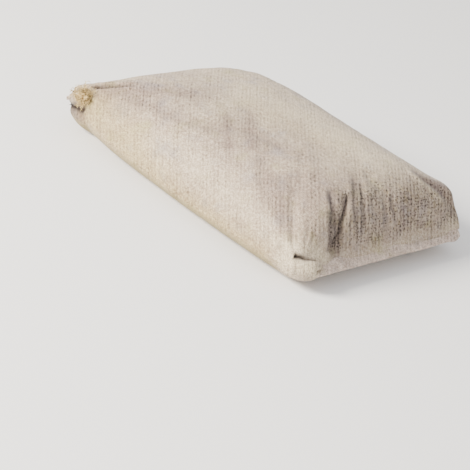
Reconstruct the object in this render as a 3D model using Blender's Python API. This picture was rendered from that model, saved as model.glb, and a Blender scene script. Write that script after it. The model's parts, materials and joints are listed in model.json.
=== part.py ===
"""A sewn cotton sack of quartz sand, lying flat.

The sack's length runs along X, with its mouth at +X and its base at -X.
Y is its width and Z is up.  The origin is in the middle of the flat underside.
Units are metres.
"""

import math

import bmesh
import bpy

# The filled sack between its two end seams
LENGTH = 0.490
WIDTH = 0.343
HEIGHT = 0.1193
CLOTH = 0.002

# The sand lies a little deeper at the mouth, as a share of the height
DEEPER = 0.014

# Height of the seam: half way along each side, and at the four corners
SIDE_SEAM_Z = 0.025
CORNER_Z = {
    ("base", "front"): 0.0445,
    ("base", "back"): 0.0115,
    ("mouth", "front"): 0.0345,
    ("mouth", "back"): 0.0358,
}

# How square the crown is towards each end and side, and how full each corner is
END_POWER = {"base": 3.6, "mouth": 8.0}
SIDE_POWER = 3.45
CROWN_POWER = 0.5
SEAM_POWER = 4.0
FULLNESS = {
    ("base", "front"): 0.54,
    ("base", "back"): -0.24,
    ("mouth", "front"): 0.20,
    ("mouth", "back"): 0.73,
}
FULLNESS_POWER = 3

# How far each long side bows out in plan
SIDE_BOW = {"front": 0.0095, "back": 0.0055}

# Shallow dip in the top, where the sand has settled
DIP_DEPTH = 0.005
DIP_CENTRE = (0.030, -0.060)
DIP_RADII = (0.110, 0.060)

# Pinch in the front side by the crumpled corner of the base, where the knot sits
PINCH_DEPTH = 0.008
PINCH_X = -0.216
PINCH_RADIUS = 0.022
PINCH_POWER = 6

# Rounded edges of the underside
UNDER_END_RADIUS = 0.018
UNDER_SIDE_RADIUS = 0.052

# Middle and radii of the sand that fills the two front corners, low down
FILLED_CORNERS = [
    ((-0.215, -0.140, 0.030), (0.030, 0.031, 0.027)),
    ((0.232, -0.146, 0.030), (0.031, 0.027, 0.018)),
]

# Flat lip of cloth past each end seam, and the strip folded over it
LIP_LENGTH = 0.019
LIP_DROP = 0.0068
LIP_SHARE = 0.98
BAND_CLOTH = 0.0014
BAND_OVERHANG = 0.004
BAND_START = 0.0015
GAP = 0.0003
FOLD_STEPS = 6

# The mouth's front corner is tucked in: the lip fades out there and the strip starts
TUCK_FROM = -0.133
TUCK_TO = -0.114
TUCK_LEFT = 0.06
STRIP_FROM = -0.110

# Sewing thread along the middle of each strip
THREAD = 0.0011
THREAD_INSET = 0.008
THREAD_END = 0.004

# Knot in the tail of thread, on the front side by the corner of the base
KNOT_RADIUS = 0.0042
KNOT_STRETCH = (1.15, 0.9, 1.0)
KNOT_Z = 0.052
KNOT_GAP = 0.0010

# Number of faces along and across the sack and round each lower edge
CELLS_LONG = 41
CELLS_WIDE = 26
UNDER_STEPS = 6

# Colour, roughness and metallic value of each material
FINISHES = {
    "cotton_cloth": ((0.66, 0.60, 0.52, 1.0), 0.93, 0.0),
    "cotton_tape": ((0.70, 0.64, 0.55, 1.0), 0.90, 0.0),
    "sewing_thread": ((0.60, 0.47, 0.28, 1.0), 0.85, 0.0),
}

ENDS = {"base": -1.0, "mouth": 1.0}


def clear_scene():
    """Remove every object that the scene starts with."""
    for obj in list(bpy.data.objects):
        bpy.data.objects.remove(obj, do_unlink=True)


def make_material(name):
    """Return the named material, made on its first use."""
    found = bpy.data.materials.get(name)
    if found:
        return found
    colour, roughness, metallic = FINISHES[name]
    material = bpy.data.materials.new(name)
    material.use_nodes = True
    shader = material.node_tree.nodes["Principled BSDF"]
    shader.inputs["Base Color"].default_value = colour
    shader.inputs["Roughness"].default_value = roughness
    shader.inputs["Metallic"].default_value = metallic
    return material


def add_object(name, bm, material):
    """Make an object of a bmesh, smooth shaded, with its faces pointing out."""
    bmesh.ops.recalc_face_normals(bm, faces=bm.faces)
    mesh = bpy.data.meshes.new(name)
    bm.to_mesh(mesh)
    bm.free()
    mesh.shade_smooth()
    mesh.set_sharp_from_angle(angle=math.radians(40))
    mesh.materials.append(make_material(material))
    obj = bpy.data.objects.new(name, mesh)
    bpy.context.scene.collection.objects.link(obj)
    return obj


def smooth_spaced(count):
    """Return places from -1 to 1 that crowd towards both ends."""
    return [math.sin(math.pi * (i / count - 0.5)) for i in range(count + 1)]


def end_of(u):
    """Name of the end that u lies towards."""
    return "mouth" if u > 0 else "base"


def side_of(v):
    """Name of the side that v lies towards."""
    return "back" if v > 0 else "front"


def half_width(u, side):
    """Distance from the middle line to one side at u, from -1 at the base to 1 at the mouth."""
    return WIDTH / 2 + SIDE_BOW[side] * (1 - u * u)


def place(u, v):
    """Plan position of the point at u along and v across the sack."""
    x = LENGTH / 2 * u
    y = half_width(u, side_of(v)) * v
    if v < 0:
        near = math.exp(-((x - PINCH_X) / PINCH_RADIUS) ** 2)
        y += PINCH_DEPTH * near * abs(v) ** PINCH_POWER
    return x, y


def corner_height(end, v):
    """Height of an end seam at v, from -1 at the front to 1 at the back."""
    share = (v + 1) / 2
    front = CORNER_Z[(end, "front")]
    back = CORNER_Z[(end, "back")]
    return front + (back - front) * share


def seam_height(u, v):
    """Height of the plane between the top and bottom cloth."""
    corner = corner_height(end_of(u), v)
    return corner + (SIDE_SEAM_Z - corner) * (1 - abs(u) ** SEAM_POWER)


def crown(u, v):
    """Share of the full height: 1 in the middle and 0 at the seams."""
    along = max(0.0, 1 - abs(u) ** END_POWER[end_of(u)])
    across = max(0.0, 1 - abs(v) ** SIDE_POWER)
    full = FULLNESS[(end_of(u), side_of(v))] * abs(u * v) ** FULLNESS_POWER
    return (along * across) ** (CROWN_POWER * (1 - full))


def top_height(u, v):
    """Height of the top cloth: a square crown with a shallow dip."""
    edge = seam_height(u, v) + CLOTH / 2
    share = crown(u, v)
    x, y = place(u, v)
    far = math.hypot((x - DIP_CENTRE[0]) / DIP_RADII[0], (y - DIP_CENTRE[1]) / DIP_RADII[1])
    dip = DIP_DEPTH * math.exp(-far * far)
    return edge + (HEIGHT * (1 + DEEPER * u) - edge - dip) * share


def round_in(distance, radius):
    """Share of the way down a rounded edge, at a distance in from the seam."""
    share = min(1.0, distance / radius)
    return math.sqrt(max(0.0, 1 - (1 - share) ** 2))


def bottom_height(u, v, inset):
    """Height of the bottom cloth at an inset from the side seam."""
    edge = seam_height(u, v) - CLOTH / 2
    from_end = LENGTH / 2 * (1 - abs(u))
    down = round_in(from_end, UNDER_END_RADIUS) * round_in(inset, UNDER_SIDE_RADIUS)
    return edge * (1 - down)


def under_insets():
    """Distances in from a side seam at which the underside has points."""
    quarter = math.pi / 2
    return [
        UNDER_SIDE_RADIUS * (1 - math.cos(quarter * i / UNDER_STEPS)) for i in range(UNDER_STEPS + 1)
    ]


def swell(point):
    """Move a point that lies inside the sand of a filled corner out to its surface."""
    for middle, radii in FILLED_CORNERS:
        offset = [(p - m) / r for p, m, r in zip(point, middle, radii)]
        far = math.hypot(*offset)
        if far < 1:
            return tuple(m + o * r / far for m, o, r in zip(middle, offset, radii))
    return point


def under_places(u):
    """Shares across the sack at u, back to front, with their insets from the side."""
    insets = under_insets()
    back = half_width(u, "back")
    front = half_width(u, "front")
    places = [(1 - inset / back, inset) for inset in insets]
    return places + [(inset / front - 1, inset) for inset in reversed(insets)]


def body_ring(u):
    """Points round the sack at u: over the top from front to back, then under."""
    points = [(*place(u, v), top_height(u, v)) for v in smooth_spaced(CELLS_WIDE)]
    points += [(*place(u, v), bottom_height(u, v, inset)) for v, inset in under_places(u)]
    return [swell(point) for point in points]


def lip_slope(end):
    """Unit vectors along the lip, outwards, and square to it, upwards, and its length."""
    run = math.hypot(LIP_LENGTH, LIP_DROP)
    along = (ENDS[end] * LIP_LENGTH / run, -LIP_DROP / run)
    square = (ENDS[end] * LIP_DROP / run, LIP_LENGTH / run)
    return along, square, run


def along_end(end, y, outline):
    """Place an outline of the lip's own section at y, as points in the room."""
    along, square, _ = lip_slope(end)
    base_x = ENDS[end] * LENGTH / 2
    base_z = corner_height(end, y / (WIDTH / 2))
    return [
        (base_x + a * along[0] + s * square[0], y, base_z + a * along[1] + s * square[1])
        for a, s in outline
    ]


def lip_left(end, y):
    """Share of the lip's length at y: the tucked corner of the mouth has almost none."""
    if end == "base":
        return 1.0
    share = (y - TUCK_FROM) / (TUCK_TO - TUCK_FROM)
    return TUCK_LEFT + (1 - TUCK_LEFT) * min(1.0, max(0.0, share))


def lip_ring(end):
    """Points round the outer edge of a lip, in the order of a body ring."""
    run = lip_slope(end)[2]
    tops = smooth_spaced(CELLS_WIDE)
    lows = [v for v, _ in under_places(1.0)]
    points = []
    for places, side in ((tops, 1), (lows, -1)):
        for v in places:
            y = v * LIP_SHARE * WIDTH / 2
            points += along_end(end, y, [(run * lip_left(end, y), side * CLOTH / 2)])
    return [swell(point) for point in points]


def build_sack():
    """The filled sack as one closed loft, flat where it lies on the floor."""
    bm = bmesh.new()
    rings = [lip_ring("base")]
    rings += [body_ring(u) for u in smooth_spaced(CELLS_LONG)]
    rings += [lip_ring("mouth")]
    verts = [[bm.verts.new(point) for point in ring] for ring in rings]
    size = len(verts[0])
    for ring, following in zip(verts, verts[1:]):
        for i in range(size):
            j = (i + 1) % size
            bm.faces.new((ring[i], ring[j], following[j], following[i]))
    bm.faces.new(verts[0])
    bm.faces.new(verts[-1])
    flat = [face for face in bm.faces if all(abs(vert.co.z) < 1e-7 for vert in face.verts)]
    bmesh.ops.dissolve_faces(bm, faces=flat, use_verts=False)
    return add_object("filled_sack", bm, "cotton_cloth")


def folded_profile():
    """Outline of a strip folded over the lip, as distances along and square to it."""
    inner = CLOTH / 2 + GAP
    outer = inner + BAND_CLOTH
    turn = math.hypot(LIP_LENGTH, LIP_DROP) + GAP
    outline = [(BAND_START, inner), (BAND_START, outer)]
    for i in range(FOLD_STEPS + 1):
        angle = math.pi / 2 - math.pi * i / FOLD_STEPS
        outline.append((turn + BAND_CLOTH * math.cos(angle), outer * math.sin(angle)))
    outline += [(BAND_START, -outer), (BAND_START, -inner)]
    outline += [(turn, -inner), (turn, inner)]
    return outline


def prism(first, last):
    """A bmesh between two like outlines."""
    bm = bmesh.new()
    start = [bm.verts.new(point) for point in first]
    stop = [bm.verts.new(point) for point in last]
    count = len(start)
    for i in range(count):
        j = (i + 1) % count
        bm.faces.new((start[i], start[j], stop[j], stop[i]))
    bm.faces.new(start)
    bm.faces.new(stop)
    return bm


def strip_span(end):
    """Where the strip over one end starts, at the front, and where it stops."""
    reach = WIDTH / 2 * LIP_SHARE + BAND_OVERHANG
    return (STRIP_FROM if end == "mouth" else -reach), reach


def build_band(end):
    """The strip folded over one end of the sack."""
    start, stop = strip_span(end)
    outline = folded_profile()
    bm = prism(along_end(end, start, outline), along_end(end, stop, outline))
    return add_object(f"{end}_band", bm, "cotton_tape")


def build_stitching(end):
    """The line of thread on top of one strip."""
    start, stop = strip_span(end)
    low = CLOTH / 2 + BAND_CLOTH + 2 * GAP
    outline = [
        (THREAD_INSET, low),
        (THREAD_INSET, low + THREAD),
        (THREAD_INSET + THREAD, low + THREAD),
        (THREAD_INSET + THREAD, low),
    ]
    first = along_end(end, start + THREAD_END, outline)
    last = along_end(end, stop - THREAD_END, outline)
    return add_object(f"{end}_stitching", prism(first, last), "sewing_thread")


def front_at(x, z):
    """Where the front of the top cloth is at a place along the sack and a height."""
    u = 2 * x / LENGTH
    low, high = -1.0, -0.5
    for _ in range(30):
        middle = (low + high) / 2
        if top_height(u, middle) < z:
            low = middle
        else:
            high = middle
    return place(u, high)[1]


def build_knot():
    """The knot in the thread's tail, against the pinched front of the sack."""
    bm = bmesh.new()
    bmesh.ops.create_icosphere(bm, subdivisions=2, radius=KNOT_RADIUS)
    bmesh.ops.scale(bm, verts=bm.verts, vec=KNOT_STRETCH)
    out = KNOT_RADIUS * KNOT_STRETCH[1] + KNOT_GAP
    bmesh.ops.translate(bm, verts=bm.verts, vec=(PINCH_X, front_at(PINCH_X, KNOT_Z) - out, KNOT_Z))
    return add_object("thread_knot", bm, "sewing_thread")


def main():
    """Build the sack, its two end strips, their stitching and the knot."""
    clear_scene()
    build_sack()
    for end in ENDS:
        build_band(end)
        build_stitching(end)
    build_knot()


main()
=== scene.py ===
"""A sewn cotton sack of quartz sand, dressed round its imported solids.

The sack's length runs along X with its mouth at +X, Y is its width and Z is up.
It lies flat on the floor, and its origin is in the middle of its underside.
Units are metres. Only the numbers given to mm are millimetres.
"""

from __future__ import annotations

import json
import logging
import math
from collections.abc import Iterator
from contextlib import contextmanager
from dataclasses import dataclass
from enum import Enum

import bmesh
import bpy
import numpy as np
from mathutils import Euler, Matrix, Vector, noise


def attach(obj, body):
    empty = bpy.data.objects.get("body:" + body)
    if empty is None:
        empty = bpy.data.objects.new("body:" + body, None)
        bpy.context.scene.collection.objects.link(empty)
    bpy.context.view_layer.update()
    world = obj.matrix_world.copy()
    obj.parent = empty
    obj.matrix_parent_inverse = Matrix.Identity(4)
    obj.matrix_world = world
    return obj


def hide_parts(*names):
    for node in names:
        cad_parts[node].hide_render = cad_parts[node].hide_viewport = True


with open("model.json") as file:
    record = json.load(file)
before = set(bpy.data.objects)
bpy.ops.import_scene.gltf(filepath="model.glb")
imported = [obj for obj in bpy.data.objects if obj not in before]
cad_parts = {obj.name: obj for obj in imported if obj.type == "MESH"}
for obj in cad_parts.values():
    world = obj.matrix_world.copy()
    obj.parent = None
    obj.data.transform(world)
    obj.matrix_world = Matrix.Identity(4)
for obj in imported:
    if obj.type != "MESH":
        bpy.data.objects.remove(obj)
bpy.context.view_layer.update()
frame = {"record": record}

logging.basicConfig(level=logging.INFO, format="%(name)s: %(message)s")
log = logging.getLogger("sand_sack")

Array = np.ndarray
Colour = tuple[float, float, float, float]
Pair = tuple[float, float]
Point = tuple[float, float, float]
Material = bpy.types.Material
Object = bpy.types.Object
Socket = bpy.types.NodeSocket


class End(Enum):
    """An end of the sack, by its direction along X."""

    BASE = -1.0
    MOUTH = 1.0


class Tint(Enum):
    """A broad tint laid on the cloth, by the name of its mask: the cool one is painted shade, the pale one
    painted light, and the warm one a warmer tone of the cloth.
    """

    COOL = "cool_tint"
    WARM = "warm_tint"
    PALE = "pale_tint"


def srgb(text: str) -> Colour:
    """Turn a colour written as six hex digits into linear values.

    Args:
        text: The colour, such as "E0D8C0".

    Returns:
        Red, green, blue and alpha, from 0 to 1.
    """
    parts = [int(text[i : i + 2], 16) / 255 for i in (0, 2, 4)]
    linear = [p / 12.92 if p <= 0.04045 else ((p + 0.055) / 1.055) ** 2.4 for p in parts]
    return (*linear, 1.0)


def mm(*points: Point) -> tuple[Point, ...]:
    """Turn points in millimetres into metres."""
    return tuple(tuple(value / 1000 for value in point) for point in points)


def unit(values: Array) -> Array:
    """Keep values from 0 to 1."""
    return np.clip(values, 0, 1)


def smooth_noise(points: Array, size: float, seed: float) -> Array:
    """Find smooth noise at each of many points.

    Args:
        points: Places in metres, one row each.
        size: Size of the noise's lumps, in metres.
        seed: Offset that gives each use its own pattern.

    Returns:
        One value from about -1 to 1 for each point.
    """
    offset = Vector((seed, 2 * seed, -seed))
    flat = points.reshape(-1, 3) / size
    values = [noise.noise(Vector(point) + offset) for point in flat.tolist()]
    return np.array(values).reshape(points.shape[:-1])


def away_squared(points: Array, middle: Point, radii: Point) -> Array:
    """Find how far points are from a middle, in its radii.

    Args:
        points: The points.
        middle: The middle.
        radii: The lengths that count as 1 along X, Y and Z.

    Returns:
        The square of each point's distance.
    """
    away = (points - np.array(middle)) / np.array(radii)
    return np.sum(away * away, axis=-1)


def path_points(path: tuple[Point, ...], count: int) -> Array:
    """Points along the straight runs of a path."""
    wanted, knots = np.linspace(0, 1, count), np.linspace(0, 1, len(path))
    return np.stack([np.interp(wanted, knots, values) for values in zip(*path)], -1)


def smoothed(line: Array, rounds: int) -> Array:
    """Round off the bends of a line, whose ends stay.

    Args:
        line: Its points, which are changed.
        rounds: How many times each point moves toward its neighbours.

    Returns:
        The same points.
    """
    for _ in range(rounds):
        line[1:-1] = (line[:-2] + 2 * line[1:-1] + line[2:]) / 4
    return line


# Node trees


class NodeTree:
    """A short way to add and join the nodes of a tree."""

    def __init__(self, tree: bpy.types.NodeTree) -> None:
        """Keep the tree that the nodes go in."""
        self.tree = tree

    @classmethod
    def group(cls, kind: str, name: str, inputs: dict[str, str], outputs: dict[str, str]) -> NodeTree:
        """Make a node group, with its inputs in given and its outputs in out.

        Args:
            kind: Shader or Geometry.
            name: The group's name.
            inputs: Each input's name and its kind of socket.
            outputs: Each output's name and its kind of socket.

        Returns:
            The group's nodes.
        """
        made = cls(bpy.data.node_groups.new(name, kind + "NodeTree"))
        for way, sockets in (("INPUT", inputs), ("OUTPUT", outputs)):
            for title, socket in sockets.items():
                made.tree.interface.new_socket(name=title, in_out=way, socket_type="NodeSocket" + socket)
        made.given = {s.name: s for s in made.add("NodeGroupInput").outputs}
        made.out = {s.name: s for s in made.add("NodeGroupOutput").inputs}
        return made

    def add(self, kind: str, inputs: dict | None = None, **settings: object) -> bpy.types.Node:
        """Add a node.

        Args:
            kind: The node's type, where ShaderNode may be left out.
            inputs: What its inputs get, by their names or numbers.
            settings: Properties of the node and their values.

        Returns:
            The new node.
        """
        node = self.tree.nodes.new(kind if "Node" in kind else "ShaderNode" + kind)
        for name, value in settings.items():
            setattr(node, name, value)
        for name, value in (inputs or {}).items():
            self.feed(value, node.inputs[name])
        return node

    def feed(self, value: object, socket: Socket) -> None:
        """Give an input what it needs.

        Args:
            value: A number, a vector, hex digits, a socket, or a node for its first output.
            socket: The input.
        """
        if isinstance(value, bpy.types.Node):
            value = value.outputs[0]
        if isinstance(value, Socket):
            self.tree.links.new(value, socket)
        else:
            socket.default_value = srgb(value) if isinstance(value, str) else value

    def math(self, operation: str, *values: object, clamp: bool = False) -> Socket:
        """Calculate with one to three values, and keep the result from 0 to 1 if clamp is set."""
        return self.add("Math", dict(enumerate(values)), operation=operation, use_clamp=clamp).outputs[0]

    def times(self, first: object, second: object, plus: object = 0.0) -> Socket:
        """Multiply two values and add a third one."""
        return self.math("MULTIPLY_ADD", first, second, plus)

    def vector(self, operation: str, first: object, second: object) -> Socket:
        """Calculate with two vectors, or scale one by a number."""
        inputs = {0: first, "Scale" if operation == "SCALE" else 1: second}
        return self.add("VectorMath", inputs, operation=operation).outputs[0]

    def split(self, vector: object) -> list[Socket]:
        """Split a vector into X, Y and Z."""
        return list(self.add("SeparateXYZ", {0: vector}).outputs)

    def ramp(self, value: object, low: float, high: float) -> Socket:
        """Map values from low to high to 0 to 1, so that the change eases in and out."""
        inputs = {"Value": value, "From Min": low, "From Max": high}
        return self.add("MapRange", inputs, interpolation_type="SMOOTHSTEP").outputs["Result"]

    def mix(self, share: object, first: object, second: object, blend: str = "MIX") -> Socket:
        """Mix two colours by the share of the second one."""
        inputs = {0: share, 6: first, 7: second}
        return self.add("Mix", inputs, data_type="RGBA", blend_type=blend).outputs[2]

    def mask(self, name: str) -> Socket:
        """Read one of the mesh's masks."""
        return self.add("Attribute", attribute_name=name).outputs["Fac"]

    def noise(self, vector: object, scale: float, detail: float = 2.0) -> Socket:
        """Add a noise texture and return its value."""
        return self.add("TexNoise", {"Vector": vector, "Scale": scale, "Detail": detail}).outputs["Fac"]

    def wobbled(self, vector: Socket, amount: float = 0.0028) -> Socket:
        """Shift a place on the cloth a little, as threads are never quite straight."""
        drift = self.add("TexNoise", {"Vector": vector, "Scale": 60.0}).outputs["Color"]
        return self.vector("ADD", vector, self.vector("SCALE", drift, amount))

    def random(self, low: object, high: object) -> Socket:
        """Draw a number, or a vector where low is a tuple, for each element.

        Args:
            low: The least value.
            high: The greatest value.

        Returns:
            The drawn value.
        """
        kind = "FLOAT_VECTOR" if isinstance(low, tuple) else "FLOAT"
        node = self.add("FunctionNodeRandomValue", {"Seed": self.given["Seed"]}, data_type=kind)
        for value, socket in zip((low, high), [s for s in node.inputs if s.enabled]):
            socket.default_value = value
        return next(s for s in node.outputs if s.enabled)

    def end(self, geometry: object) -> None:
        """Give the geometry its material and let it out of the tree."""
        inputs = {"Geometry": geometry, "Material": self.given["Material"]}
        self.feed(self.add("GeometryNodeSetMaterial", inputs), self.out["Geometry"])


def shader_group(name: str, sizes: tuple[str, ...], results: tuple[str, ...]) -> NodeTree:
    """Make a shader group that takes a place and some sizes, and gives out values."""
    inputs = {"Vector": "Vector", **dict.fromkeys(sizes, "Float")}
    return NodeTree.group("Shader", name, inputs, dict.fromkeys(results, "Float"))


def geometry_group(name: str, sizes: tuple[str, ...]) -> NodeTree:
    """Make a Geometry Nodes group that takes a mesh, some sizes, a seed and a material."""
    inputs = {"Geometry": "Geometry", **dict.fromkeys(sizes, "Float"), "Seed": "Int", "Material": "Material"}
    return NodeTree.group("Geometry", name, inputs, {"Geometry": "Geometry"})


# Materials


def plain_weave_group() -> bpy.types.NodeTree:
    """Lay threads over and under each other.

    Returns:
        The group, which gives out their height and which one is on top.
    """
    nodes = shader_group("plain_weave", ("Pitch",), ("Height", "Over"))
    x, y, _ = nodes.split(nodes.wobbled(nodes.given["Vector"]))
    turns = (nodes.times(nodes.math("DIVIDE", value, nodes.given["Pitch"]), math.pi) for value in (x, y))
    along, across = (nodes.math("SINE", turn) for turn in turns)
    over = nodes.times(along, across)
    warp = nodes.times(nodes.math("ABSOLUTE", across), nodes.times(over, 0.35, 0.65))
    weft = nodes.times(nodes.math("ABSOLUTE", along), nodes.times(over, -0.35, 0.65))
    nodes.feed(nodes.math("MAXIMUM", warp, weft), nodes.out["Height"])
    nodes.feed(over, nodes.out["Over"])
    return nodes.tree


def pore_group() -> bpy.types.NodeTree:
    """Scatter dark pores between the threads.

    Returns:
        The group, which gives out each pore's own depth, from 0 to 1.
    """
    nodes = shader_group("pores", ("Pitch", "Amount"), ("Mask",))
    pitch = nodes.add("CombineXYZ", dict.fromkeys("XYZ", nodes.given["Pitch"])).outputs[0]
    place = nodes.vector("DIVIDE", nodes.wobbled(nodes.given["Vector"]), pitch)
    inputs = {"Vector": place, "Scale": 1.0, "Randomness": 0.55}
    cells = nodes.add("TexVoronoi", inputs, voronoi_dimensions="2D")
    ragged = nodes.times(nodes.noise(place, 4.0, 1.0), 0.36, -0.18)
    dot = nodes.ramp(nodes.math("ADD", cells.outputs["Distance"], ragged), 0.44, 0.16)
    chance = nodes.split(cells.outputs["Color"])[0]
    over = nodes.math("SUBTRACT", chance, nodes.math("SUBTRACT", 1.0, nodes.given["Amount"]))
    nodes.feed(nodes.times(dot, nodes.math("MULTIPLY", over, 2.6, clamp=True)), nodes.out["Mask"])
    return nodes.tree


def rib_group() -> bpy.types.NodeTree:
    """Draw ribs of the coarser yarns, broken into dashes.

    Returns:
        The group, which gives out 1 on a rib and 0 between the ribs.
    """
    nodes = shader_group("yarn_ribs", ("Pitch", "Dash"), ("Value",))
    vector = nodes.given["Vector"]
    x, y, _ = nodes.split(nodes.wobbled(vector, 0.0042))
    across = nodes.math("DIVIDE", x, nodes.given["Pitch"])
    rib = nodes.ramp(nodes.math("COSINE", nodes.times(across, 2 * math.pi)), -0.5, 0.7)
    drawn = nodes.add("TexWhiteNoise", {"W": nodes.math("ROUND", across)}, noise_dimensions="1D")
    start, weight, _ = nodes.split(drawn.outputs["Color"])
    up = nodes.math("ADD", nodes.math("DIVIDE", y, nodes.given["Dash"]), start)
    dash = nodes.ramp(nodes.math("SINE", nodes.times(up, 2 * math.pi)), -0.8, 0.8)
    broken = nodes.ramp(nodes.noise(vector, 430.0, 1.0), 0.40, 0.60)
    dash = nodes.times(nodes.times(dash, 0.62, 0.38), nodes.times(broken, 0.55, 0.55))
    patchy = nodes.ramp(nodes.noise(vector, 48.0, 3.0), 0.36, 0.64)
    share = nodes.times(nodes.times(weight, 0.65, 0.35), nodes.times(patchy, 0.70, 0.30))
    nodes.feed(nodes.times(nodes.times(rib, dash), share), nodes.out["Value"])
    return nodes.tree


def slub_group() -> bpy.types.NodeTree:
    """Draw the thick and thin places in the yarns as long streaks.

    Returns:
        The group, which gives out values from 0 to 1.
    """
    nodes = shader_group("yarn_slubs", ("Pitch", "Length"), ("Value",))
    length = nodes.given["Length"]
    sizes = nodes.add("CombineXYZ", {"X": nodes.given["Pitch"], "Y": length, "Z": length}).outputs[0]
    streak = nodes.noise(nodes.vector("DIVIDE", nodes.given["Vector"], sizes), 1.0, 1.5)
    nodes.feed(nodes.ramp(streak, 0.34, 0.66), nodes.out["Value"])
    return nodes.tree


def speck_group() -> bpy.types.NodeTree:
    """Scatter small dark specks.

    Returns:
        The group, which gives out 1 where a speck is and 0 between them.
    """
    nodes = shader_group("specks", ("Size", "Amount"), ("Mask",))
    size = nodes.add("CombineXYZ", dict.fromkeys("XYZ", nodes.given["Size"])).outputs[0]
    grain = nodes.noise(nodes.vector("DIVIDE", nodes.given["Vector"], size), 1.0, 1.0)
    over = nodes.math("SUBTRACT", grain, nodes.times(nodes.given["Amount"], -0.26, 0.80))
    nodes.feed(nodes.math("MULTIPLY", over, 14.0, clamp=True), nodes.out["Mask"])
    return nodes.tree


def new_material(name: str, roughness: float) -> tuple[Material, bpy.types.Node]:
    """Make a material.

    Args:
        name: Its name.
        roughness: How matt it is, from 0 to 1.

    Returns:
        The material and its Principled shader.
    """
    material = bpy.data.materials.new(name)
    material.use_nodes = True
    shader = material.node_tree.nodes["Principled BSDF"]
    shader.inputs["Roughness"].default_value = roughness
    return material, shader


@dataclass(frozen=True)
class ClothFinish:
    """The look of one unbleached cotton, woven and specked with dirt, with shade and light painted on it."""

    name: str
    light: str
    dark: str
    pitch: float
    weave_depth: float
    soil: float
    uses_masks: bool

    warm: str = "C0B592"
    rosy: str = "B6ABA4"
    # Colour of the painted shade in the folds and dips.
    cool: str = "CFC8CE"
    warm_wash: str = "EFEBC6"
    # Colour of the painted light on the lit faces and ridges.
    pale: str = "EEE1C2"
    # Random olive and lilac blotches, laid only within the painted shade of the mouth end.
    olive: str = "E6E0C0"
    lilac: str = "D6CEDA"
    # Colours of the painted shade along the lower front edge and in the creases, of the specks of dirt (also
    # used for the dots of painted shade), and of the painted shade in the slits.
    lower_edge_shade_colour: str = "877A52"
    fold_shade_colour: str = "74696A"
    speck: str = "38302C"
    gap_dark: str = "2A211B"
    patch_size: float = 0.11
    tint_size: float = 0.030
    # Size of the blotches within the painted shade of the mouth end.
    shade_blotch_size: float = 0.008
    mottle_size: float = 0.0050
    grain_size: float = 0.0017
    speck_size: float = 0.0030
    pore_pitch: float = 0.0040
    slub_pitch: float = 0.0053
    slub_length: float = 0.011
    dash: float = 0.0065
    weave_scale: float = 70.0
    crumple_scale: float = 90.0
    crumple_depth: float = 0.0025
    crumple_strength: float = 0.5
    weave_strength: float = 0.8
    # Share of the painted light.
    pale_light_share: float = 0.8
    slub_share: float = 0.22
    rib_share: float = 0.70
    # How much more the ribs darken within the painted shade of the folds and dips.
    shade_rib_share: float = 0.55
    # Shares of the painted shade on the mouth end, of its blotches, in the folds and along the lower front
    # edge.
    mouth_shade_strength: float = 0.30
    shade_blotch_share: float = 0.7
    fold_share: float = 0.50
    lower_edge_shade_share: float = 0.9
    speck_share: float = 0.6
    mottle: str = "E9E5E3"
    slub_shade: str = "BDB6B3"
    rib_shade: str = "8F8784"
    grain_shade: str = "D2CCC9"
    weave_shade: str = "B4ABA6"
    # Colour of the painted shade on the mouth end.
    mouth_shade_colour: str = "C8C4CA"
    roughness: float = 0.94
    sheen: float = 0.12
    specular: float = 0.2


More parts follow.
